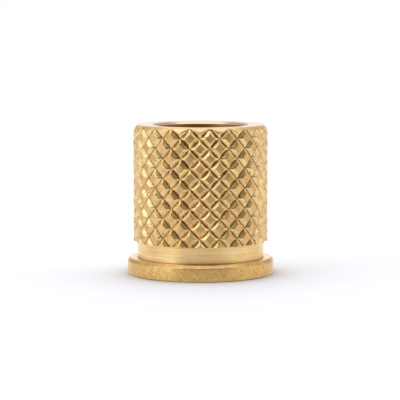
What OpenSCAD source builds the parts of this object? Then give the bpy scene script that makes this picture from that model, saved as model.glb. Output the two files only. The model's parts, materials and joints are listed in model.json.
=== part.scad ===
// Flanged threaded insert for an M8 screw, turned from brass bar in one piece.
// Its knurled barrel is pressed or melted into a plain hole until the flange seats.
// Origin: centre of the flange's underside. +Z runs along the axis to the open end.

/* [Barrel] */
// Height of the whole insert, over the flange and the open end
insert_h = 13.3; // [9:0.1:24]
// Diameter over the flats of the knurl
barrel_d = 12; // [10:0.1:18]
// Height of the chamfer on the barrel's open end
rim_chamfer_h = 0.45; // [0.2:0.05:1]

/* [Knurl] */
// Distance from groove to groove, measured square to the grooves
knurl_pitch = 1.235; // [0.9:0.005:1.6]
// Depth of the grooves below the flats
knurl_depth = 0.27; // [0.2:0.01:0.34]
// Full angle of the V of each groove, in degrees
groove_angle = 100; // [80:1:105]
// Height of the first groove crossings above the knurl's lower edge
knurl_lead = 0.7; // [0:0.05:1.7]
// Turn of the knurl about the axis, in degrees
knurl_turn = -0.5; // [-8:0.5:8]

/* [Neck and flange] */
// Step in radius from the roots of the grooves down to the neck
neck_step = 0.07; // [0.02:0.01:0.3]
// Height of the plain neck between flange and knurl
neck_h = 1.5; // [0.8:0.1:4]
// Thickness of the flange
flange_t = 1.45; // [0.8:0.05:3]
// Width of the flange's edge outside the knurl
flange_lip = 0.54; // [0.4:0.02:3]
// Chamfer on the flange's upper edge
flange_chamfer = 0.25; // [0.1:0.05:0.35]
// Bevel on the flange's lower edge
flange_bevel = 0.1; // [0.05:0.05:0.3]

/* [Bore] */
// Major diameter of the screw thread
thread_d = 8; // [6:0.1:10]
// Pitch of the screw thread
thread_pitch = 1.25; // [1:0.25:1.5]
// Extra diameter of the plain mouth and the countersink over the screw
screw_clearance = 0.25; // [0.1:0.05:0.6]
// Depth of the plain mouth, before the thread starts
mouth_depth = 1; // [0.5:0.1:3]
// Chamfer on the mouth's edge
mouth_chamfer = 0.22; // [0.1:0.02:0.3]

/* [Hidden] */
$fn = 96;
brass = [0.76, 0.61, 0.38];

// Radii of the turned surfaces
barrel_r = barrel_d / 2;
root_r = barrel_r - knurl_depth;
neck_r = root_r - neck_step;
flange_r = barrel_r + flange_lip;

// The thread is bored at its minor diameter: 5/8 of a 60 degree thread's height each side
thread_minor_r = thread_d / 2 - 5 / 8 * thread_pitch * cos(30);
mouth_r = (thread_d + screw_clearance) / 2;
lead_in = mouth_r - thread_minor_r;

// The knurl starts above the neck and runs to the open end
knurl_z = flange_t + neck_h;

// Grooves cross at 45 degrees on the circle halfway down them, so one diamond is as
// wide as it is tall, and a whole number of them goes round
diamond = knurl_pitch * sqrt(2);
diamonds_round = round(PI * (barrel_d - knurl_depth) / diamond);
step_z = diamond / 2;
step_a = 180 / diamonds_round;

// The flanks of each diamond meet in a point above the flats, which turning cuts off
peak_r = root_r + knurl_pitch / 2 / tan(groove_angle / 2);

// Rows of points, from one below the knurl to one above the open end
first_row = -1 - ceil(knurl_lead / step_z);
last_row = 1 + ceil((insert_h - knurl_z - knurl_lead) / step_z);
row_count = last_row - first_row + 1;
row_length = 2 * diamonds_round;

// Past the ends of the cut, so that no two faces coincide
over = 1;

// Place of point k in row j: groove crossings and peaks take turns along each row
function is_peak(k, j) = abs(k + j) % 2 == 1;
function knurl_point(k, j) =
    let (r = is_peak(k, j) ? peak_r : root_r, a = knurl_turn - 90 + k * step_a)
    [r * cos(a), r * sin(a), knurl_z + knurl_lead + j * step_z];

// Number of point k in row j in the list of points, counted round the row
function point_id(k, j) =
    (j - first_row) * row_length + (k + row_length) % row_length;

// Pyramids side by side round a drum, with the grooves as the valleys between them
module knurl_drum() {
    low_centre = row_count * row_length;
    high_centre = low_centre + 1;
    points = [
        for (j = [first_row:last_row], k = [0:row_length - 1]) knurl_point(k, j),
        [0, 0, knurl_z + knurl_lead + first_row * step_z],
        [0, 0, knurl_z + knurl_lead + last_row * step_z]
    ];
    lower_flanks = [
        for (j = [first_row + 1:last_row], k = [0:row_length - 1]) if (is_peak(k, j))
            for (side = [0, 1])
                [point_id(k, j),
                 side == 0 ? point_id(k, j - 1) : point_id(k + 1, j),
                 side == 0 ? point_id(k - 1, j) : point_id(k, j - 1)]
    ];
    upper_flanks = [
        for (j = [first_row:last_row - 1], k = [0:row_length - 1]) if (is_peak(k, j))
            for (side = [0, 1])
                [point_id(k, j),
                 side == 0 ? point_id(k - 1, j) : point_id(k, j + 1),
                 side == 0 ? point_id(k, j + 1) : point_id(k + 1, j)]
    ];
    low_end = [
        for (k = [0:row_length - 1])
            [low_centre, point_id(k, first_row), point_id(k + 1, first_row)]
    ];
    high_end = [
        for (k = [0:row_length - 1])
            [high_centre, point_id(k + 1, last_row), point_id(k, last_row)]
    ];
    polyhedron(points, concat(lower_flanks, upper_flanks, low_end, high_end));
}

// Barrel as turned: a plain cylinder with a chamfer on its open end. The chamfer runs in
// to the neck's radius, so the grooves run out in it and the end face stays a true ring
module barrel_blank() {
    rotate_extrude()
        polygon([
            [0, knurl_z],
            [barrel_r, knurl_z],
            [barrel_r, insert_h - rim_chamfer_h],
            [neck_r, insert_h],
            [0, insert_h]
        ]);
}

// Flange with its edges broken, and the neck, which runs on up inside the barrel
module flange_and_neck() {
    rotate_extrude()
        polygon([
            [0, 0],
            [flange_r - flange_bevel, 0],
            [flange_r, flange_bevel],
            [flange_r, flange_t - flange_chamfer],
            [flange_r - flange_chamfer, flange_t],
            [neck_r, flange_t],
            [neck_r, knurl_z + step_z],
            [0, knurl_z + step_z]
        ]);
}

// Hole right through: countersink in the flange, thread bore, cone and plain mouth
module bore() {
    rotate_extrude()
        polygon([
            [0, -over],
            [mouth_r + over, -over],
            [thread_minor_r, lead_in],
            [thread_minor_r, insert_h - mouth_depth - lead_in],
            [mouth_r, insert_h - mouth_depth],
            [mouth_r, insert_h - mouth_chamfer],
            [mouth_r + mouth_chamfer + over, insert_h + over],
            [0, insert_h + over]
        ]);
}

module insert_body() {
    color(brass)
        difference() {
            union() {
                flange_and_neck();
                intersection() {
                    barrel_blank();
                    knurl_drum();
                }
            }
            bore();
        }
}

insert_body();
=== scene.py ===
# %% [markdown]
# # A knurled brass threaded insert, cell by cell
#
# The insert is one turned piece: a flange, a plain neck, a barrel with a diamond knurl, and
# a screw thread right through. In the workshop it passes three tools, and this file makes
# its surfaces as they do: the knurling wheels, the tap and the lathe. The finishes come
# before them, because each surface is given its finish as it is made.
#
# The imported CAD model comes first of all. It gives the true sizes, so nothing here has to be
# fitted to it afterwards.

# %% Load the frame
import json
import math

import bmesh
import bpy
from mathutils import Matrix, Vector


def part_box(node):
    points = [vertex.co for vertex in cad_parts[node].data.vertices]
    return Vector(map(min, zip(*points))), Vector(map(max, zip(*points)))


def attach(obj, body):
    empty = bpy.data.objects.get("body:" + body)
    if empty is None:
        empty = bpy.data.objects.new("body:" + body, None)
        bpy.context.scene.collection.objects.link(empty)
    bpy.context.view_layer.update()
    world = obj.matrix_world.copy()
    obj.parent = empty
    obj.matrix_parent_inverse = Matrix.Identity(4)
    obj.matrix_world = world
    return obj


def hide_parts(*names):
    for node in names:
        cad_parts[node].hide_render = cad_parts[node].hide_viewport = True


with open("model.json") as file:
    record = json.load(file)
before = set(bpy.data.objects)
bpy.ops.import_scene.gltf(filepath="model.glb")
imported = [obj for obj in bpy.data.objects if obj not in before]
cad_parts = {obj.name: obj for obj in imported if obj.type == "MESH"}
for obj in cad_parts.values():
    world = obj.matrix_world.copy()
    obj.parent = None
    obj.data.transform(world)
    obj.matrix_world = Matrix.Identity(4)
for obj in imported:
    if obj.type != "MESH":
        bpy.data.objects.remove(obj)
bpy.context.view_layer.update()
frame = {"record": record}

NODE = "insert_body"
MM = 0.001

# %% [markdown]
# ## Sizes
#
# The overall sizes are read from the frame: the height and the flange from the node's box,
# and the barrel, the seat and the bore from the mounts. The knurl and the thread's pitch
# have no mount, so they are named here, in millimetres, as a drawing would give them.

# %% Read the sizes
high_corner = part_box(NODE)[1]
mounts = {mount["name"]: mount for mount in frame["record"]["mounts"]}
grip = mounts["knurl_grip"]["dims"]
thread = mounts["thread"]["dims"]

height = high_corner.z
flange_r = high_corner.x
flange_t = mounts["flange_seat"]["pos_m"][2]
barrel_r = grip["r_mm"] * MM
knurl_low = height - grip["length_mm"] * MM

knurl_pitch = 1.235 * MM                     # from groove to groove, square to them
knurl_depth = 0.27 * MM
groove_angle = math.radians(100)
knurl_lead = 0.7 * MM                        # first groove crossings, above the knurl's edge
knurl_turn = math.radians(-0.5)
neck_step = 0.07 * MM
neck_r = barrel_r - knurl_depth - neck_step

thread_pitch = 1.25 * MM
thread_minor_r = thread["r_mm"] * MM
thread_major_r = thread_minor_r + 5 / 8 * thread_pitch * math.cos(math.radians(30))
mouth_clearance = 0.125 * MM
mouth_r = thread_major_r + mouth_clearance
mouth_depth = 1.0 * MM

print(f"height {height / MM:.2f} mm, barrel {2 * barrel_r / MM:.2f} mm, "
      f"thread M{2 * thread_major_r / MM:.1f} x {thread_pitch / MM:.2f}")

# %% [markdown]
# ## One helper for every node
#
# Materials and Geometry Nodes are both graphs. Built by hand, each node takes a line to
# create it and a line for each link. This helper does it in one call: the sources fill the
# node's sockets in order, or by name from a dictionary. A node or a socket is linked, and
# anything else is set as the socket's value. Many nodes keep spare sockets that are switched
# off in the mode they are in, so only those that are switched on count.

# %% Node helper
def add(tree, kind, *sources, **settings):
    node = tree.nodes.new(kind)
    for name, value in settings.items():
        setattr(node, name, value)
    sockets = [socket for socket in node.inputs if socket.enabled]
    if sources and isinstance(sources[0], dict):
        by_name = {socket.name: socket for socket in reversed(sockets)}
        pairs = [(by_name[name], source) for name, source in sources[0].items()]
    else:
        pairs = zip(sockets, sources)
    for socket, source in pairs:
        if isinstance(source, bpy.types.Node):
            source = next(output for output in source.outputs if output.enabled)
        if isinstance(source, bpy.types.NodeSocket):
            tree.links.new(source, socket)
        else:
            socket.default_value = source
    return node


# %% [markdown]
# A Geometry Nodes tree gets named inputs, so that it can be reused with other sizes. The
# modifier stores each input under the socket's identifier, not its name, and the values
# have to be there before the object is first evaluated. The result is copied to a plain
# mesh, and the object that carried the modifier goes.

# %% Geometry Nodes helpers
def new_geometry_tree(name, sizes):
    tree = bpy.data.node_groups.new(name, "GeometryNodeTree")
    tree.interface.new_socket("Material", in_out="INPUT", socket_type="NodeSocketMaterial")
    for size, value in sizes.items():
        kind = "NodeSocketInt" if isinstance(value, int) else "NodeSocketFloat"
        tree.interface.new_socket(size, in_out="INPUT", socket_type=kind)
    tree.interface.new_socket("Mesh", in_out="OUTPUT", socket_type="NodeSocketGeometry")
    return tree, add(tree, "NodeGroupInput").outputs


def run_geometry_tree(tree, values):
    holder = bpy.data.objects.new(tree.name, bpy.data.meshes.new(tree.name))
    bpy.context.scene.collection.objects.link(holder)
    modifier = holder.modifiers.new(tree.name, "NODES")
    modifier.node_group = tree
    for socket in tree.interface.items_tree:
        if socket.in_out == "INPUT":
            modifier[socket.identifier] = values[socket.name]
    evaluated = holder.evaluated_get(bpy.context.evaluated_depsgraph_get())
    mesh = bpy.data.meshes.new_from_object(evaluated)
    bpy.data.objects.remove(holder)
    print(f"{tree.name}: {len(mesh.vertices)} points, {len(mesh.polygons)} faces")
    return mesh


# %% [markdown]
# The knurl and the thread both go round the axis, so each is made as a flat grid that is
# then wrapped into a tube, and their trees differ only in the rule between the two. The
# first nodes make the grid, and say how far round and how far up each of its points is, from
# 0 to 1. The last put each point at its own angle, radius and height, and weld the seam
# where the grid's sides meet. The points could be placed one by one in Python instead, but
# nodes show the rule as a graph, which can be changed while its result is seen.

# %% Grid helpers
weld = 0.001 * MM


def start_grid(tree, size):
    columns_and_one = add(tree, "ShaderNodeMath", size["Columns"], 1.0, operation="ADD")
    rows_and_one = add(tree, "ShaderNodeMath", size["Rows"], 1.0, operation="ADD")
    grid = add(tree, "GeometryNodeMeshGrid", 1.0, 1.0, columns_and_one, rows_and_one)
    place = add(tree, "ShaderNodeVectorMath", add(tree, "GeometryNodeInputPosition"),
                (0.5, 0.5, 0.0), operation="ADD")
    share = add(tree, "ShaderNodeSeparateXYZ", place)
    return grid, share.outputs["X"], share.outputs["Y"]


def on_circle(tree, angle, radius, z):
    across = add(tree, "ShaderNodeMath", angle, operation="COSINE")
    ahead = add(tree, "ShaderNodeMath", angle, operation="SINE")
    ring = add(tree, "ShaderNodeCombineXYZ", across, ahead, 0.0)
    outward = add(tree, "ShaderNodeVectorMath", ring, radius, operation="SCALE")
    up = add(tree, "ShaderNodeCombineXYZ", 0.0, 0.0, z)
    return add(tree, "ShaderNodeVectorMath", outward, up, operation="ADD")


def wrap_grid(tree, size, grid, point):
    wrapped = add(tree, "GeometryNodeSetPosition", {"Geometry": grid, "Position": point})
    welded = add(tree, "GeometryNodeMergeByDistance", {"Geometry": wrapped, "Distance": weld})
    real = add(tree, "GeometryNodeRealizeInstances", welded)
    return add(tree, "GeometryNodeSetMaterial", {"Geometry": real, "Material": size["Material"]})


# %% [markdown]
# ## Colours
#
# A paint program shows sRGB, and a renderer calculates in linear light. One function turns
# a hex value into the linear colour that a socket takes.

# %% Colour helper
def linear(hex_code):
    shares = [int(hex_code[i:i + 2], 16) / 255 for i in (1, 3, 5)]
    curve = [s / 12.92 if s <= 0.04045 else ((s + 0.055) / 1.055) ** 2.4 for s in shares]
    return (*curve, 1.0)


# %% [markdown]
# ## One metal, seven finishes
#
# The whole insert is free-cutting brass. What tells its surfaces apart is how each was made:
# turned, faced, rolled, tapped, or left to stain. A single brass over all of it would lose
# that, so every finish shares one shader and has its own colours and marks.
#
# To the shader, brass is pure metal: metallic 1 and the default IOR, with its colour as the
# tint of all it mirrors. Machined brass has a roughness near 0.3, and where a tool has
# pressed on it, it is smoother. Anisotropy draws its reflections out across the tool marks.
# That needs a direction, and a radial tangent round Z gives one on anything turned. The
# marks themselves are a bump, a few thousandths of a millimetre deep at most.

# %% Shader helpers
quarter_turn = 0.25                          # from along the tool marks to across them


def new_material(name):
    material = bpy.data.materials.new(name)
    material.use_nodes = True
    material.node_tree.nodes.clear()
    return material, material.node_tree


def brass_shader(material, colour, marks, roughness, depth, anisotropy=0.0):
    tree = material.node_tree
    tangent = add(tree, "ShaderNodeTangent", direction_type="RADIAL", axis="Z")
    bump = add(tree, "ShaderNodeBump", {"Height": marks, "Distance": depth, "Strength": 1.0})
    shader = add(tree, "ShaderNodeBsdfPrincipled", {
        "Base Color": colour, "Metallic": 1.0, "Roughness": roughness, "Normal": bump,
        "Anisotropic": anisotropy, "Anisotropic Rotation": quarter_turn if anisotropy else 0.0,
        "Tangent": tangent})
    add(tree, "ShaderNodeOutputMaterial", shader)
    print(f"{material.name}: {len(tree.nodes)} nodes")


# %% [markdown]
# Three patterns make the marks. They read Object coordinates, so each keeps its real size
# and stays where it is on the metal:
#
# - Mottle is soft patches, for tarnish and grime.
# - Tool rings are what a lathe leaves, one for each turn of the bar. They depend only on the
#   distance from the axis and on the height, so their noise reads those two, with a little
#   of the plain position to let each ring fade in and out.
# - Specks are pits: a round dot in some of the cells of a Voronoi pattern.
#
# A tint then lays a second colour where a pattern is strong. It starts at the pattern's low
# value, and from the high one on it covers as much as it may.

# %% Pattern helpers
fade_length = 25                             # in rings
dot_core, dot_edge = 0.05, 0.13              # of the spacing from dot to dot


def mottle(tree, size, detail=3.0):
    place = add(tree, "ShaderNodeTexCoord").outputs["Object"]
    return add(tree, "ShaderNodeTexNoise",
               {"Vector": place, "Scale": 1 / size, "Detail": detail}).outputs["Fac"]


def tool_rings(tree, feed):
    place = add(tree, "ShaderNodeTexCoord").outputs["Object"]
    sideways = add(tree, "ShaderNodeVectorMath", place, (1, 1, 0), operation="MULTIPLY")
    r = add(tree, "ShaderNodeVectorMath", sideways, operation="LENGTH")
    z = add(tree, "ShaderNodeSeparateXYZ", place).outputs["Z"]
    ring = add(tree, "ShaderNodeCombineXYZ", r, 0.0, z)
    fading = add(tree, "ShaderNodeVectorMath", place, (1 / fade_length,) * 3, ring,
                 operation="MULTIPLY_ADD")
    return add(tree, "ShaderNodeTexNoise",
               {"Vector": fading, "Scale": 1 / feed, "Detail": 2.0}).outputs["Fac"]


def specks(tree, spacing, share):
    place = add(tree, "ShaderNodeTexCoord").outputs["Object"]
    cells = add(tree, "ShaderNodeTexVoronoi", {"Vector": place, "Scale": 1 / spacing})
    draw = add(tree, "ShaderNodeSeparateXYZ", cells.outputs["Color"])
    chosen = add(tree, "ShaderNodeMath", draw, share, operation="LESS_THAN")
    near = add(tree, "ShaderNodeMapRange", cells.outputs["Distance"], dot_core, dot_edge,
               1.0, 0.0)
    return add(tree, "ShaderNodeMath", near, chosen, operation="MULTIPLY")


def tint(tree, colour, second, pattern, low=0.0, high=1.0, most=1.0):
    amount = add(tree, "ShaderNodeMapRange", pattern, low, high, 0.0, most)
    return add(tree, "ShaderNodeMix", {"Factor": amount, "A": colour, "B": second},
               data_type="RGBA")


# %% [markdown]
# ## Turned brass
#
# The neck, the chamfer of the open end and the flange's flat sides are brass straight off
# the lathe. The tool's rings make it rough across them and nearly a mirror along them:
# reflections are drawn out up and down, but stay sharp from side to side. A plain mirror
# would look like plating, and an even roughness like paint.
#
# Tarnish lies on it in faint patches a couple of millimetres across. The bottoms of the
# rings hold it longest, so a darker line follows them too. Real rings can be 0.05 mm apart,
# which is too fine to show, so these are drawn 0.13 mm apart.

# %% Turned brass
turned_brass, tree = new_material("turned brass")
patch_size = 1.8 * MM
feed = 0.13 * MM
pit_spacing = 0.5 * MM

rings = tool_rings(tree, feed)
patched = tint(tree, linear("#FBDB9E"), linear("#F0C987"), mottle(tree, patch_size),
               low=0.35, high=0.7)
lined = tint(tree, patched, linear("#BE955A"), rings, low=0.35, high=0.7, most=0.45)
pitted = tint(tree, lined, linear("#8A6A3C"), specks(tree, pit_spacing, share=0.2))
brass_shader(turned_brass, pitted, rings, roughness=0.28, depth=0.0012 * MM, anisotropy=0.85)

# %% [markdown]
# ## Faced brass
#
# The end face and the mouth's chamfer are cut across the end of the bar, with a sharper tool
# and a finer feed. They are cleaner and smoother than the neck, and look paler because they
# mirror the ceiling. One colour is enough, because the fine rings already break up what is
# mirrored. They are drawn 0.1 mm apart, again wider than real.

# %% Faced brass
faced_brass, tree = new_material("faced brass")
feed = 0.1 * MM
brass_shader(faced_brass, linear("#DCBA90"), tool_rings(tree, feed), roughness=0.2,
             depth=0.0006 * MM, anisotropy=0.5)

# %% [markdown]
# ## The bar's turned skin
#
# The wheels don't reach the flats of the diamonds, so these still have the skin of the plain
# barrel. It stands out furthest and has met the most chips and hands, and so has the
# flange's chamfer: both are duller than the neck, browner, and have more pits. The higher
# roughness spreads what they mirror, so the flats look even, and the flanks beside them
# flash. The rings, 0.09 mm apart, are just coarse enough to show across a flat.

# %% Turned skin
turned_skin, tree = new_material("turned brass skin of the barrel")
patch_size = 0.8 * MM
feed = 0.09 * MM
pit_spacing = 0.6 * MM

patched = tint(tree, linear("#E6BF80"), linear("#CDA166"),
               mottle(tree, patch_size, detail=6.0), low=0.38, high=0.65)
pitted = tint(tree, patched, linear("#7A5A30"), specks(tree, pit_spacing, share=0.35))
brass_shader(turned_skin, pitted, tool_rings(tree, feed), roughness=0.34,
             depth=0.0016 * MM, anisotropy=0.8)

# %% [markdown]
# ## Rolled brass
#
# The grooves aren't cut. The wheels' teeth press them in, which rubs the flanks bright and
# prints the teeth's own grinding marks on them, as streaks along each groove. A pattern on
# plain coordinates can't follow the flanks, so the knurl stores a "roll mark" on its mesh:
# X is how far a place is from its groove, Y how far along it, and Z which of the two sets of
# grooves it is in. Noise that is stretched along the groove gives the streaks, as bump. Real
# ones are a few hundredths of a millimetre wide, and these are drawn coarse enough to show.
#
# Darker brown is painted along the bottom of each groove, as a thin line on each side of it.
# It is partly dirt that settles there and partly painted shade, for the dim light deep in
# the groove. One set gets less of it, as painted light for how the light falls on each set.
# The nicks are small dark spots on the flanks: painted shadows of burrs.

# %% Rolled brass
rolled_brass, tree = new_material("rolled brass")
patch_size = 0.7 * MM
burr_shadow_size = 0.2 * MM
flank_width = knurl_pitch / 2                # the roll mark counts in these, both ways
streak_width = 0.1235 * MM
streak_length = 1.235 * MM
set_shift = 7.0                              # gives each set of grooves its own streaks
# painted shade and dirt along the groove bottoms reach this far up the flank
dirt_and_shade_reach = 0.11                            # of the flank's width
second_set_dirt_and_shade = 0.65

mark = add(tree, "ShaderNodeAttribute", attribute_name="roll mark").outputs["Vector"]
stretch = (flank_width / streak_width, flank_width / streak_length, set_shift)
stretched = add(tree, "ShaderNodeVectorMath", mark, stretch, operation="MULTIPLY")
streak = add(tree, "ShaderNodeTexNoise",
             {"Vector": stretched, "Scale": 1.0, "Detail": 2.0}).outputs["Fac"]
flank = add(tree, "ShaderNodeSeparateXYZ", mark)
# the second set of grooves gets less of the darkening: painted light, for how the light falls on
# it
most_dirt_and_shade = add(tree, "ShaderNodeMapRange", flank.outputs["Z"], 0.0, 1.0, 1.0,
                second_set_dirt_and_shade)

patched = tint(tree, linear("#F6D896"), linear("#E0BA87"),
               mottle(tree, patch_size, detail=6.0), low=0.38, high=0.65)
# darker brown along each groove's bottom: dirt and painted shade
dirty_and_shaded = tint(tree, patched, linear("#6E4620"), flank.outputs["X"],
             low=dirt_and_shade_reach, high=0.0, most=most_dirt_and_shade)
# small dark spots on the flanks: painted shadows of burrs
burr_shaded = tint(tree, dirty_and_shaded, linear("#6B4A24"), mottle(tree, burr_shadow_size, detail=4.0),
              low=0.59, high=0.67, most=0.7)
brass_shader(rolled_brass, burr_shaded, streak, roughness=0.2, depth=0.005 * MM)

# %% [markdown]
# ## Tapped brass
#
# A tap shaves the thread and rubs it smooth with oil. Its flanks are the smoothest metal of
# all, but they mirror only each other, and brass seen in brass is a deeper gold. A low
# roughness and one deeper colour give that. The marks that the tap leaves are drawn 0.12 mm
# apart, coarser than real.

# %% Tapped brass
tapped_brass, tree = new_material("tapped brass")
tap_marks = 0.12 * MM
brass_shader(tapped_brass, linear("#CDA060"), tool_rings(tree, tap_marks), roughness=0.12,
             depth=0.0006 * MM)

# %% [markdown]
# ## Darker brass
#
# The wall of the mouth and the corner at the neck's foot are drawn as brass that is darker
# and rougher. On the mouth's wall this is painted shade, for the inside of the bore that the
# light hardly reaches. At the neck's foot it makes a dark line in the corner. A coat of brown
# on bright brass would shine twice, so the darkness is drawn as darker, rougher brass instead.
# The drill's marks lie under it, and are drawn 0.12 mm apart, coarser than real.

# %% Darker brass
darker_brass, tree = new_material("darker brass")
# darker, rougher brass: painted shade on the mouth's wall, and a dark line at the neck's foot
drill_marks = 0.12 * MM
brass_shader(darker_brass, linear("#9C7644"), tool_rings(tree, drill_marks), roughness=0.42,
             depth=0.001 * MM)

# %% [markdown]
# ## Tarnished rim
#
# The flange's side is what fingers and the other inserts in the box touch. It has lost its
# rings to fine dents, and is freckled: duller patches, and over them a brown grain. The two
# patterns differ in size, because one pattern alone would look printed. The dents are drawn
# 0.08 mm across, wider than real, so that they show.

# %% Tarnished rim
rim_brass, tree = new_material("tarnished brass rim")
patch_size = 0.32 * MM
grain_size = 0.13 * MM
dent_size = 0.08 * MM

patched = tint(tree, linear("#F2C87E"), linear("#DAB474"),
               mottle(tree, patch_size, detail=6.0), low=0.36, high=0.64)
grained = tint(tree, patched, linear("#B08040"), mottle(tree, grain_size, detail=4.0),
               low=0.4, high=0.7, most=0.5)
brass_shader(rim_brass, grained, mottle(tree, dent_size), roughness=0.27,
             depth=0.0006 * MM, anisotropy=0.8)

# %% [markdown]
# ## The knurl
#
# A knurling tool has two hardened wheels with slanting teeth. Pressed into the turning
# barrel, they roll two sets of grooves that cross, and leave a diamond between each four
# crossings. One diamond could be modelled and copied round, but the open end cuts the top
# row through. So a fine grid is wrapped round the barrel instead, and a rule gives each
# point its radius: the lowest of the groove flanks and the plain barrel.
#
# The grid is set so that its points fall exactly on the grooves. Its seam is at the back.

# %% Knurl sizes
diamond = knurl_pitch * math.sqrt(2)
diamonds_round = round(2 * math.pi * (barrel_r - knurl_depth / 2) / diamond)
cuts = 10                                    # grid squares across half a diamond
square_z = diamond / 2 / cuts
first_row = math.floor(-knurl_lead / square_z)
last_row = math.ceil((height - knurl_low - knurl_lead) / square_z)
peak_height = knurl_pitch / 2 / math.tan(groove_angle / 2)
halves_to_back = diamonds_round // 2 * 2 + 2    # half diamonds from the front to the seam
seam_angle = knurl_turn - math.pi / 2 + halves_to_back * math.pi / diamonds_round

knurl_sizes = {
    "Columns": 2 * diamonds_round * cuts,
    "Rows": last_row - first_row,
    "First row": first_row,
    "Cuts": cuts,
    "Square height": square_z,
    "Turn": seam_angle,
    "Low": knurl_low,
    "High": height,
    "Crossing height": knurl_low + knurl_lead,
    "Barrel radius": barrel_r,
    "Groove depth": knurl_depth,
    "Peak height": peak_height,
    "Mitre rounding": 0.05 * MM,
    "Shoulder rounding": 0.016 * MM,
    "Rim height": 0.55 * MM,
    "Rim width": barrel_r - neck_r,
    "Rim curve": 1.6,
    "Rim rounding": 0.05 * MM,
    "Unevenness": 0.07 * MM,
    "Wave length": 1.3 * MM,
}
print(f"{diamonds_round} diamonds round, {knurl_sizes['Columns']} columns")

# %% [markdown]
# The tree starts with a flat grid and counts its squares. Each square becomes two triangles.
# Split the same way everywhere, they would cross the grooves and make their bottoms ragged.
# So the squares are split along the groove beside them: one way in even blocks, the other
# way in odd ones, like a chessboard.

# %% Knurl tree: the grid
tree, size = new_geometry_tree("Rolled knurl", knurl_sizes)
grid, share_round, share_up = start_grid(tree, size)
column = add(tree, "ShaderNodeMath", share_round, size["Columns"], operation="MULTIPLY")
row = add(tree, "ShaderNodeMath", share_up, size["Rows"], size["First row"],
          operation="MULTIPLY_ADD")

block_x = add(tree, "ShaderNodeMath", add(tree, "ShaderNodeMath", column, size["Cuts"],
              operation="DIVIDE"), operation="FLOOR")
block_y = add(tree, "ShaderNodeMath", add(tree, "ShaderNodeMath", row, size["Cuts"],
              operation="DIVIDE"), operation="FLOOR")
parity = add(tree, "ShaderNodeMath", add(tree, "ShaderNodeMath", block_x, block_y,
             operation="ADD"), 1.0, operation="PINGPONG")
even = add(tree, "ShaderNodeMath", parity, 0.5, operation="LESS_THAN")
odd = add(tree, "ShaderNodeMath", parity, 0.5, operation="GREATER_THAN")
split_even = add(tree, "GeometryNodeTriangulate", grid, even, quad_method="FIXED")
split_odd = add(tree, "GeometryNodeTriangulate", split_even, odd,
                quad_method="FIXED_ALTERNATE")
print("grid:", len(tree.nodes), "nodes")

# %% [markdown]
# Even lines are a waste on a flat flank and too few at its shoulder, where the flank bends
# over into the flat. A Float Curve moves three of the ten lines together there. It works on
# the zigzag that each set of grooves makes: 0 in a groove, 1 at the middle of a diamond.
# The top and bottom rows of the knurl have to stay level, so near them nothing may move.

# %% Knurl tree: crowd the lines at the shoulders
shoulder = knurl_depth / peak_height         # where the flat begins, on the zigzag
shoulder_half = 0.04
free_squares = 3.0                           # from the knurl's ends to where all may move

row_z = add(tree, "ShaderNodeMath", row, size["Square height"], size["Crossing height"],
            operation="MULTIPLY_ADD")
above_low = add(tree, "ShaderNodeMath", row_z, size["Low"], operation="SUBTRACT")
below_high = add(tree, "ShaderNodeMath", size["High"], row_z, operation="SUBTRACT")
from_end = add(tree, "ShaderNodeMath", above_low, below_high, operation="MINIMUM")
free_from = add(tree, "ShaderNodeMath", size["Square height"], free_squares,
                operation="MULTIPLY")
freedom = add(tree, "ShaderNodeMapRange", from_end, size["Square height"], free_from, 0.0, 1.0)

steps_to_middle, shifts, lengthways = [], [], []
for operation in ("ADD", "SUBTRACT"):
    along = add(tree, "ShaderNodeMath", column, row, operation=operation)
    halves = add(tree, "ShaderNodeMath", along, size["Cuts"], operation="DIVIDE")
    lengthways.insert(0, halves)             # one set's count is the other's way along
    zigzag = add(tree, "ShaderNodeMath", halves, 1.0, operation="PINGPONG")
    crowded = add(tree, "ShaderNodeFloatCurve", {"Value": zigzag})
    points = crowded.mapping.curves[0].points
    for step in (-1, 0, 1):
        points.new(0.5 + step / cuts, shoulder + step * shoulder_half)
    for curve_point in points:
        curve_point.handle_type = "VECTOR"
    crowded.mapping.update()
    moved = add(tree, "ShaderNodeMath", add(tree, "ShaderNodeMath", crowded, zigzag,
                operation="SUBTRACT"), freedom, operation="MULTIPLY")
    steps_to_middle.append(add(tree, "ShaderNodeMath", zigzag, moved, operation="ADD"))
    falling = add(tree, "ShaderNodeMath", add(tree, "ShaderNodeMath", halves,
                  operation="FLOOR"), 1.0, operation="PINGPONG")
    way = add(tree, "ShaderNodeMath", falling, -2.0, 1.0, operation="MULTIPLY_ADD")
    shifts.append(add(tree, "ShaderNodeMath", moved, way, operation="MULTIPLY"))
half_cuts = add(tree, "ShaderNodeMath", size["Cuts"], 0.5, operation="MULTIPLY")
shift_sum = add(tree, "ShaderNodeMath", *shifts, operation="ADD")
shift_difference = add(tree, "ShaderNodeMath", *shifts, operation="SUBTRACT")
moved_column = add(tree, "ShaderNodeMath", shift_sum, half_cuts, column,
                   operation="MULTIPLY_ADD")
moved_row = add(tree, "ShaderNodeMath", shift_difference, half_cuts, row,
                operation="MULTIPLY_ADD")
print(f"shoulder at {shoulder:.2f} of the way up a diamond")

# %% [markdown]
# Now each point gets its angle and its height. The grid has a row or so too many at each
# end, because its rows follow the grooves, and those are clamped to the knurl's true ends.

# %% Knurl tree: angle and height
turned_by = add(tree, "ShaderNodeMath", moved_column, size["Columns"], operation="DIVIDE")
angle = add(tree, "ShaderNodeMath", turned_by, math.tau, size["Turn"],
            operation="MULTIPLY_ADD")
moved_z = add(tree, "ShaderNodeMath", moved_row, size["Square height"],
              size["Crossing height"], operation="MULTIPLY_ADD")
z = add(tree, "ShaderNodeClamp", moved_z, size["Low"], size["High"])
print("angle and height:", len(tree.nodes), "nodes")

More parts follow.
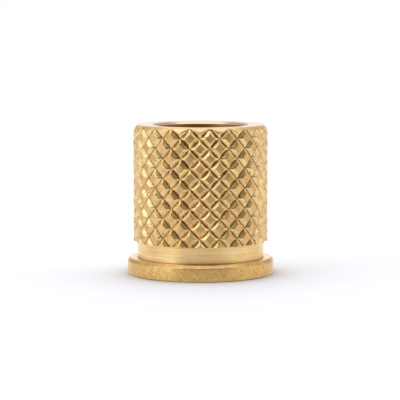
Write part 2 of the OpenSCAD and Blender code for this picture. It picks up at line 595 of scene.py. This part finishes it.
# %% [markdown]
# The radius is where the real metal is imitated. The flanks of each diamond meet in a
# pyramid, and a smooth minimum with the plain barrel takes its top off and rounds the
# shoulders, as rolled metal is. The bottom of each groove stays sharp. A slow noise lifts
# and lowers the pyramids and the barrel together: no wheel runs quite true, so no two
# diamonds are the same. Near the open end, the barrel leans in to its chamfer.

# %% Knurl tree: radius
on_barrel = on_circle(tree, angle, size["Barrel radius"], z)
waves_to_metre = add(tree, "ShaderNodeMath", 1.0, size["Wave length"], operation="DIVIDE")
waves = add(tree, "ShaderNodeTexNoise",
            {"Vector": on_barrel, "Scale": waves_to_metre, "Detail": 1.0})
wave = add(tree, "ShaderNodeMath", waves.outputs["Fac"], 0.5, operation="SUBTRACT")

flanks = [add(tree, "ShaderNodeMath", step, size["Peak height"], operation="MULTIPLY")
          for step in steps_to_middle]
pyramid = add(tree, "ShaderNodeMath", *flanks, size["Mitre rounding"],
              operation="SMOOTH_MIN")
uneven = add(tree, "ShaderNodeMath", wave, size["Unevenness"], pyramid,
             operation="MULTIPLY_ADD")
root_r = add(tree, "ShaderNodeMath", size["Barrel radius"], size["Groove depth"],
             operation="SUBTRACT")
pyramid_r = add(tree, "ShaderNodeMath", root_r, uneven, operation="ADD")
diamond_r = add(tree, "ShaderNodeMath", pyramid_r, size["Barrel radius"],
                size["Shoulder rounding"], operation="SMOOTH_MIN")

rim_start = add(tree, "ShaderNodeMath", size["High"], size["Rim height"],
                operation="SUBTRACT")
up_the_rim = add(tree, "ShaderNodeMapRange", z, rim_start, size["High"], 0.0, 1.0)
lean = add(tree, "ShaderNodeMath", up_the_rim, size["Rim curve"], operation="POWER")
rim_in = add(tree, "ShaderNodeMath", lean, size["Rim width"], operation="MULTIPLY")
true_r = add(tree, "ShaderNodeMath", size["Barrel radius"], rim_in, operation="SUBTRACT")
blank_r = add(tree, "ShaderNodeMath", wave, size["Unevenness"], true_r,
              operation="MULTIPLY_ADD")
radius = add(tree, "ShaderNodeMath", blank_r, diamond_r, size["Rim rounding"],
             operation="SMOOTH_MIN")
print("radius:", len(tree.nodes), "nodes")

# %% [markdown]
# Three attributes carry over to the finishes, and they are stored while the grid is still
# flat. Two are yes or no for each face: is it bare skin that the wheels left alone, and is
# that skin on the chamfer. The third is the roll mark. A face belongs to the groove nearest
# its middle, and that choice is made once for the face, so that the mark doesn't smear over
# the ridge between two grooves. That is also why it is stored at the face's corners.

# %% Knurl tree: what each face is
chamfer_start = 0.15                         # of the rim's height

bare = add(tree, "ShaderNodeMath", pyramid_r, blank_r, operation="GREATER_THAN")
in_chamfer = add(tree, "ShaderNodeMath", up_the_rim, chamfer_start, operation="GREATER_THAN")
bare_chamfer = add(tree, "ShaderNodeMath", bare, in_chamfer, operation="MULTIPLY")

first_set_nearer = add(tree, "GeometryNodeFieldOnDomain", add(tree, "ShaderNodeMath",
                       *steps_to_middle, operation="LESS_THAN"), domain="FACE")
flank_places = [add(tree, "ShaderNodeCombineXYZ", step, length, float(groove_set))
                for groove_set, (step, length) in enumerate(zip(steps_to_middle, lengthways))]
roll_mark = add(tree, "ShaderNodeMix", {"Factor": first_set_nearer, "A": flank_places[1],
                "B": flank_places[0]}, data_type="VECTOR")

marked = add(tree, "GeometryNodeStoreNamedAttribute",
             {"Geometry": split_odd, "Name": "roll mark", "Value": roll_mark},
             domain="CORNER", data_type="FLOAT_VECTOR")
for name, chosen in (("bare skin", bare), ("bare chamfer", bare_chamfer)):
    marked = add(tree, "GeometryNodeStoreNamedAttribute",
                 {"Geometry": marked, "Name": name, "Value": chosen}, domain="FACE")
print("marks:", len(tree.nodes), "nodes")

# %% [markdown]
# Last, the grid is wrapped round, its seam is welded, and the faces get their finishes.

# %% Knurl tree: wrap and finish
finished = wrap_grid(tree, size, marked, on_circle(tree, angle, radius, z))
for name, finish in (("bare skin", turned_skin), ("bare chamfer", turned_brass)):
    chosen = add(tree, "GeometryNodeInputNamedAttribute", {"Name": name})
    finished = add(tree, "GeometryNodeSetMaterial",
                   {"Geometry": finished, "Selection": chosen, "Material": finish})
add(tree, "NodeGroupOutput", finished)
knurl_skin = run_geometry_tree(tree, {"Material": rolled_brass, **knurl_sizes})

# %% [markdown]
# ## The thread
#
# A tap cuts the thread up the bore. A threaded rod taken away with a boolean would do, but
# it leaves ragged triangles. Here the rows of a second grid climb the helix themselves: one
# turn along a row rises by one pitch, so every crest and root runs along a row and stays
# crisp. Sixteen rows to a pitch fit the standard profile exactly: four on the crest, five on
# each flank and two at the root.
#
# At both ends the thread runs out in a cone of 45 degrees, which wins wherever it is wider.

# %% Thread sizes
steps = 16                                   # grid rows to one pitch of the thread
bore_share = 5                               # knurl columns to one column of the bore
bore_columns = knurl_sizes["Columns"] // bore_share
thread_top = height - mouth_depth
turns = math.ceil(thread_top / thread_pitch) + 1
thread_sizes = {
    "Columns": bore_columns,
    "Rows": turns * steps,
    "Steps": steps,
    "Turn": seam_angle,
    "Pitch": thread_pitch,
    "Low": 0.0,
    "High": thread_top,
    "Minor radius": thread_minor_r,
    "Major radius": thread_major_r,
    "Cone radius": mouth_r,
}
print(f"{turns - 1} turns of thread, {bore_columns} columns")

# %% [markdown]
# Each row climbs one pitch in a turn. The first row starts a whole pitch below the flange's
# underside, and what is too low or too high is clamped to the ends of the thread. The radius
# follows from how far a row is from its crest, counted in pitches.

# %% Thread tree
crest_half, root_half = 1 / 8, 1 / 16        # of a pitch, as the standard gives them

tree, size = new_geometry_tree("Tapped thread", thread_sizes)
grid, share_round, share_up = start_grid(tree, size)
angle = add(tree, "ShaderNodeMath", share_round, math.tau, size["Turn"],
            operation="MULTIPLY_ADD")
row = add(tree, "ShaderNodeMath", share_up, size["Rows"], operation="MULTIPLY")
turn = add(tree, "ShaderNodeMath", add(tree, "ShaderNodeMath", row, operation="ROUND"),
           size["Steps"], operation="DIVIDE")

climb = add(tree, "ShaderNodeMath", turn, share_round, operation="ADD")
climb_from_below = add(tree, "ShaderNodeMath", climb, 1.0, operation="SUBTRACT")
helix_z = add(tree, "ShaderNodeMath", climb_from_below, size["Pitch"], operation="MULTIPLY")
z = add(tree, "ShaderNodeClamp", helix_z, size["Low"], size["High"])

from_crest = add(tree, "ShaderNodeMath", turn, 0.5, operation="PINGPONG")
thread_r = add(tree, "ShaderNodeMapRange", from_crest, crest_half, 0.5 - root_half,
               size["Minor radius"], size["Major radius"])
from_top = add(tree, "ShaderNodeMath", size["High"], z, operation="SUBTRACT")
from_end = add(tree, "ShaderNodeMath", z, from_top, operation="MINIMUM")
cone_r = add(tree, "ShaderNodeMath", size["Cone radius"], from_end, operation="SUBTRACT")
radius = add(tree, "ShaderNodeMath", thread_r, cone_r, operation="MAXIMUM")

finished = wrap_grid(tree, size, grid, on_circle(tree, angle, radius, z))
add(tree, "NodeGroupOutput", finished)
thread_skin = run_geometry_tree(tree, {"Material": tapped_brass, **thread_sizes})

# %% [markdown]
# ## The turned surfaces
#
# Everything else is turned: the end face, the mouth, the neck and the flange. A lathe draws
# an outline and spins it, and so do the next cells. An outline is a list of corners. Each
# has its place, the radius of its broken edge, and the finish of the stretch that leads to
# it. No real edge is a perfect corner, and a corner with no radius catches no light, so the
# first helper replaces each one by a short arc. The finish changes halfway round the arc. A
# Bevel modifier would do the same to every edge alike, but here each has its own radius.
#
# A place in the outline is a complex number, r + zi, because those can be added, scaled and
# compared by direction with plain arithmetic.

# %% Outline helper
def rounded(corners, segments=4):
    outline = []
    for before, corner, after in zip(corners, corners[1:], corners[2:]):
        r, z, radius, finish = corner
        if radius == 0:
            outline.append((r, z, finish))
            continue
        here = complex(r, z)
        to_before = complex(*before[:2]) - here
        to_after = complex(*after[:2]) - here
        to_before /= abs(to_before)
        to_after /= abs(to_after)
        half = math.acos((to_before * to_after.conjugate()).real) / 2
        inwards = (to_before + to_after) / abs(to_before + to_after)
        centre = here + inwards * radius / math.sin(half)
        start = here + to_before * radius / math.tan(half) - centre
        end = here + to_after * radius / math.tan(half) - centre
        for step in range(segments + 1):
            blend = start + (end - start) * step / segments
            spot = centre + blend / abs(blend) * radius
            outline.append((spot.real, spot.imag, finish if 2 * step <= segments else after[3]))
    r, z, radius, finish = corners[-1]
    return outline + [(r, z, finish)]


# %% [markdown]
# Each outline is swept from a ring of points that is already there: the upper or lower edge
# of the knurl, counted from the seam. The bore has a fifth of the knurl's columns, so on the
# flat faces one ring of many-sided faces takes up the difference.

# %% Lathe helpers
materials = [rolled_brass, turned_skin, turned_brass, faced_brass, tapped_brass,
             darker_brass, rim_brass]
slot = materials.index
half_column = math.pi / knurl_sizes["Columns"]


def edge_ring(bm, z):
    ring = [v for v in bm.verts if abs(v.co.z - z) < weld and v.is_boundary]
    return sorted(ring, key=lambda v: (math.atan2(v.co.y, v.co.x) - seam_angle
                                       + half_column) % math.tau)


def next_ring(bm, ring, r, z):
    angles = [math.atan2(v.co.y, v.co.x) for v in ring]
    return [bm.verts.new((r * math.cos(a), r * math.sin(a), z)) for a in angles]


def turn_outline(bm, ring, outline):
    for r, z, finish in outline:
        new = next_ring(bm, ring, r, z)
        for i in range(len(ring)):
            face = bm.faces.new((ring[i - 1], ring[i], new[i], new[i - 1]))
            face.material_index = slot(finish)
        ring = new
    return ring


def thin_out(bm, ring, r, z, share, finish):
    few = next_ring(bm, ring[::share], r, z)
    for i in range(len(few)):
        j = (i + 1) % len(few)
        outer = [ring[(i * share + k) % len(ring)] for k in range(share + 1)]
        face = bm.faces.new(outer + [few[j], few[i]])
        face.material_index = slot(finish)
    return few


# %% [markdown]
# The end face runs inwards from the top of the knurl to the mouth. The mouth is a short
# plain bore, wide enough for the screw to start straight, with a chamfer to lead it in. Its
# wall goes down to where the thread begins.

# %% Turn the end face and the mouth
edge = 0.04 * MM
mouth_chamfer = 0.22 * MM
plain_ring = 0.5 * MM

bm = bmesh.new()
bm.from_mesh(knurl_skin)
for face in bm.faces:
    face.material_index = slot(knurl_skin.materials[face.material_index])
top_ring = edge_ring(bm, height)
bottom_ring = edge_ring(bm, knurl_low)

ring = turn_outline(bm, top_ring, [(neck_r - plain_ring, height, faced_brass)])
ring = thin_out(bm, ring, mouth_r + mouth_chamfer + edge, height, bore_share, faced_brass)
turn_outline(bm, ring, rounded([
    (neck_r, height, 0, faced_brass),
    (mouth_r + mouth_chamfer, height, edge, faced_brass),
    (mouth_r, height - mouth_chamfer, edge, faced_brass),
    # the mouth's wall in darker brass: painted shade for the inside of the bore
    (mouth_r, thread_top, 0, darker_brass),
]))
print("knurl, end face and mouth:", len(bm.faces), "faces")

# %% [markdown]
# The neck and the flange are one outline, from the bottom of the knurl down to the
# underside. The stretch just above the flange is drawn in the darker brass, as a dark line in
# the corner. Where the flange's chamfer meets its side, the edge has been knocked about in
# the box, so it has the widest arc.

# %% Turn the neck and the flange
crevice = 0.06 * MM
foot_radius = 0.02 * MM
flange_chamfer = 0.25 * MM
chamfer_top_radius = 0.05 * MM
chamfer_low_radius = 0.14 * MM
flange_bevel = 0.1 * MM
bevel_radius = 0.07 * MM

ring = turn_outline(bm, bottom_ring, rounded([
    (barrel_r, knurl_low, 0, turned_brass),
    (neck_r, knurl_low, edge, turned_brass),
    (neck_r, flange_t + crevice, 0, turned_brass),
    # a dark line in the corner at the neck's foot, in darker brass
    (neck_r, flange_t, foot_radius, darker_brass),
    (flange_r - flange_chamfer, flange_t, chamfer_top_radius, turned_brass),
    (flange_r, flange_t - flange_chamfer, chamfer_low_radius, turned_skin),
    (flange_r, flange_bevel, bevel_radius, rim_brass),
    (flange_r - flange_bevel, 0, edge, turned_brass),
    (flange_r - 2 * flange_bevel - plain_ring, 0, 0, turned_brass),
]))
thin_out(bm, ring, mouth_r, 0, bore_share, turned_brass)

turned_skins = bpy.data.meshes.new("turned skins")
bm.to_mesh(turned_skins)
bm.free()
print("all outside:", len(turned_skins.polygons), "faces")

# %% [markdown]
# ## One closed piece
#
# The outside and the thread share their edge points, so welding them leaves no gap. A
# remesh would close them too, but round every groove off. The check below counts the edges
# that don't have exactly two faces, and has to find none.

# %% Weld the skins
skin_weld = 0.002 * MM
shortest_edge = 0.0005 * MM

bm = bmesh.new()
bm.from_mesh(turned_skins)
outside_faces = len(bm.faces)
bm.from_mesh(thread_skin)
bm.faces.ensure_lookup_table()
for face in bm.faces[outside_faces:]:
    face.material_index = slot(tapped_brass)
bmesh.ops.remove_doubles(bm, verts=bm.verts, dist=skin_weld)
bmesh.ops.dissolve_degenerate(bm, edges=bm.edges, dist=shortest_edge)
bmesh.ops.recalc_face_normals(bm, faces=bm.faces)
open_edges = [e for e in bm.edges if len(e.link_faces) != 2]
print("open edges:", len(open_edges), "volume:", round(bm.calc_volume() / MM ** 3, 1), "mm3")

body_mesh = bpy.data.meshes.new("insert")
for material in materials:
    body_mesh.materials.append(material)
bm.to_mesh(body_mesh)
bm.free()
uses = [0] * len(materials)
for face in body_mesh.polygons:
    uses[face.material_index] += 1
print({material.name: count for material, count in zip(materials, uses)})

# %% [markdown]
# Smooth shading blends the light over every edge below a limit, and it would also bend it
# over the long plain faces beside each fillet. Weighted normals let the large faces keep
# their own direction, so that only the narrow ones bend. The valleys of the knurl and the
# thread are sharper than the limit, and stay crisp.

# %% Shade the edges
sharp_from = math.radians(58)

body_mesh.shade_smooth()
body_mesh.set_sharp_from_angle(angle=sharp_from)
blank = bpy.data.objects.new("blank", body_mesh)
bpy.context.scene.collection.objects.link(blank)
weighting = blank.modifiers.new("weighting", "WEIGHTED_NORMAL")
weighting.keep_sharp = True
weighted = blank.evaluated_get(bpy.context.evaluated_depsgraph_get())
insert = bpy.data.objects.new("insert", bpy.data.meshes.new_from_object(weighted))
bpy.context.scene.collection.objects.link(insert)
bpy.data.objects.remove(blank)
triangles = sum(len(p.vertices) - 2 for p in insert.data.polygons)
print("insert:", triangles, "triangles")

# %% [markdown]
# The finished piece takes the place of the CAD body. The CAD body stays for the physics, but
# is hidden. Nothing moves on an insert, so it rides on the root.

# %% Ride and replace
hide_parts(NODE)
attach(insert, "root")
print("insert stands for", NODE)

# %% [markdown]
# ## The studio
#
# Polished metal shows what stands round it, so the studio is half of the finish. This one is
# a sheet of white paper on a bench, in a room with a large window on the left, a smaller one
# on the right, and only the dark of the room behind the camera. Where the brass faces the
# camera it shows that dark, and its sides show the windows.
#
# The sheet ends between the insert and the camera, and beyond its edge the metal mirrors the
# bench. The camera sees paper wherever it looks. Camera and metal both see the paper bright
# enough to be white, and it still keeps the insert's shadow. Close to the foot, ambient
# occlusion deepens that shadow a little, for the camera alone, as the fine gap under a real
# part does.

# %% White paper floor
paper, tree = new_material("white paper")
sheet_end = (-62 * MM, -55 * MM)             # the front edge of the sheet, a soft one
paper_white = linear("#E7E7E7")
bench_brown = linear("#595045")
seen_white = (1.06, 1.065, 1.07, 1.0)        # with the room's light on it, this shows as white
foot_shadow_reach = 2.5 * MM
foot_shadow = 0.6

rays = add(tree, "ShaderNodeLightPath")
camera_ray = rays.outputs["Is Camera Ray"]
place = add(tree, "ShaderNodeSeparateXYZ", add(tree, "ShaderNodeTexCoord").outputs["Object"])
on_sheet = add(tree, "ShaderNodeMapRange", place.outputs["Y"], *sheet_end, 0.0, 1.0)
shows_paper = add(tree, "ShaderNodeMath", on_sheet, camera_ray, operation="MAXIMUM")
seen = add(tree, "ShaderNodeMath", camera_ray, rays.outputs["Is Glossy Ray"],
           operation="MAXIMUM")
white = add(tree, "ShaderNodeMix", {"Factor": seen, "A": paper_white, "B": seen_white},
            data_type="RGBA", clamp_factor=True)
shaded = add(tree, "ShaderNodeAmbientOcclusion", {"Color": white, "Distance": foot_shadow_reach})
deepened = add(tree, "ShaderNodeMath", camera_ray, foot_shadow, operation="MULTIPLY")
sheet = add(tree, "ShaderNodeMix", {"Factor": deepened, "A": white, "B": shaded},
            data_type="RGBA")
colour = add(tree, "ShaderNodeMix", {"Factor": shows_paper, "A": bench_brown, "B": sheet},
             data_type="RGBA")
add(tree, "ShaderNodeOutputMaterial", add(tree, "ShaderNodeBsdfDiffuse", colour))

floor_half = 1.5
floor_mesh = bpy.data.meshes.new("floor")
floor_mesh.from_pydata(
    [(-floor_half, -floor_half, 0), (floor_half, -floor_half, 0),
     (floor_half, floor_half, 0), (-floor_half, floor_half, 0)], [], [(0, 1, 2, 3)])
floor_mesh.materials.append(paper)
floor = bpy.data.objects.new("floor", floor_mesh)
bpy.context.scene.collection.objects.link(floor)
print("floor:", 2 * floor_half, "m wide")

# %% [markdown]
# Area lamps would show in the metal as hard squares, so the room is painted on the world
# instead, with one colour ramp that goes round the walls at the insert's own height and one
# that goes round them higher up. Dim light is a little warmer than bright light, as in a
# real room.

# %% Room helpers
red_power, blue_power = 0.88, 1.25


def room_light(brightness):
    return (brightness ** red_power, brightness, brightness ** blue_power, 1.0)


def wall_ramp(tree, position, behind, wall):
    ramp = add(tree, "ShaderNodeValToRGB", position)
    stops = ramp.color_ramp.elements
    for end_stop in stops:
        end_stop.color = room_light(behind)
    for angle, brightness in wall.items():
        stops.new(angle / 360 + 0.5).color = room_light(brightness)
    return ramp


# %% [markdown]
# The numbers are the brightness at each angle from the front, with the right side positive.
# The large window is brightest at -49 degrees, and the small one at 75. The ceiling is a
# single bright tone, for the end face to mirror.
#
# That is what the metal sees. The paper is lit by the same room, but more from the back than
# from the front, so that the insert's shadow falls towards the camera. Behind everything,
# the camera sees plain white.

# %% Room
low_behind, high_behind = 1.15, 1.0
low_wall = {-165: 0.8, -150: 0.6, -110: 0.9, -65: 1.4, -49: 1.9, -47: 1.05, -35: 0.5,
            -24: 0.17, 30: 0.2, 46: 0.25, 55: 0.6, 75: 1.0, 110: 0.85, 150: 0.6, 165: 0.8}
high_wall = {-150: 0.65, -110: 0.8, -75: 1.3, -52: 1.75, -45: 1.4, -20: 0.4, 22: 0.22,
             44: 0.3, 54: 0.65, 75: 1.2, 110: 0.8, 150: 0.65}
ceiling = 1.65
low_to_high = math.radians(10), math.radians(40)
walls_to_ceiling = math.radians(50), math.radians(66)
front_light, back_light = 0.1, 1.7

world = bpy.data.worlds.new("room")
bpy.context.scene.world = world
world.use_nodes = True
tree = world.node_tree
tree.nodes.clear()
direction = add(tree, "ShaderNodeSeparateXYZ", add(tree, "ShaderNodeTexCoord"))
towards_front = add(tree, "ShaderNodeMath", direction.outputs["Y"], -1.0, operation="MULTIPLY")
azimuth = add(tree, "ShaderNodeMath", direction.outputs["X"], towards_front,
              operation="ARCTAN2")
elevation = add(tree, "ShaderNodeMath", direction.outputs["Z"], operation="ARCSINE")
position = add(tree, "ShaderNodeMapRange", azimuth, -math.pi, math.pi, 0.0, 1.0)
up_the_wall = add(tree, "ShaderNodeMapRange", elevation, *low_to_high, 0.0, 1.0)
overhead = add(tree, "ShaderNodeMapRange", elevation, *walls_to_ceiling, 0.0, 1.0,
               interpolation_type="SMOOTHSTEP")
walls = add(tree, "ShaderNodeMix", {"Factor": up_the_wall,
            "A": wall_ramp(tree, position, low_behind, low_wall),
            "B": wall_ramp(tree, position, high_behind, high_wall)}, data_type="RGBA")
room = add(tree, "ShaderNodeMix", {"Factor": overhead, "A": walls,
           "B": room_light(ceiling)}, data_type="RGBA")
rays = add(tree, "ShaderNodeLightPath")
from_behind = add(tree, "ShaderNodeMapRange", direction.outputs["Y"], -1.0, 1.0,
                  front_light, back_light)
strength = add(tree, "ShaderNodeMix", rays.outputs["Is Diffuse Ray"], 1.0, from_behind)
lit = add(tree, "ShaderNodeVectorMath", room, strength, operation="SCALE")
shown = add(tree, "ShaderNodeMix", {"Factor": rays.outputs["Is Camera Ray"],
            "A": lit, "B": (1.0, 1.0, 1.0, 1.0)}, data_type="RGBA")
add(tree, "ShaderNodeOutputWorld", add(tree, "ShaderNodeBackground", shown, 1.0))
print("room:", len(tree.nodes), "nodes")

# %% [markdown]
# ## The camera
#
# Small parts are shot with a long lens from a hand's width away, almost level with the
# bench. The low angle shows the knurl square on, and of the bore only a thin dark band.

# %% Camera
image_size = 400
half_step = 0.5 / image_size
lens_mm = 167.4
sensor_mm = 36
view_distance = 166.6 * MM
view_elevation = math.radians(6)
target_z = 6.47 * MM

camera_data = bpy.data.cameras.new("camera")
camera_data.lens = lens_mm
camera_data.sensor_width = sensor_mm
camera_data.shift_x = -half_step
camera_data.shift_y = half_step
camera_data.clip_start = 0.01
camera = bpy.data.objects.new("camera", camera_data)
bpy.context.scene.collection.objects.link(camera)
camera.location = (0, -view_distance * math.cos(view_elevation),
                   target_z + view_distance * math.sin(view_elevation))
camera.rotation_euler = (math.pi / 2 - view_elevation, 0, 0)
bpy.context.scene.camera = camera
bpy.context.scene.view_settings.view_transform = "Standard"
print(f"camera {view_distance / MM:.1f} mm away")
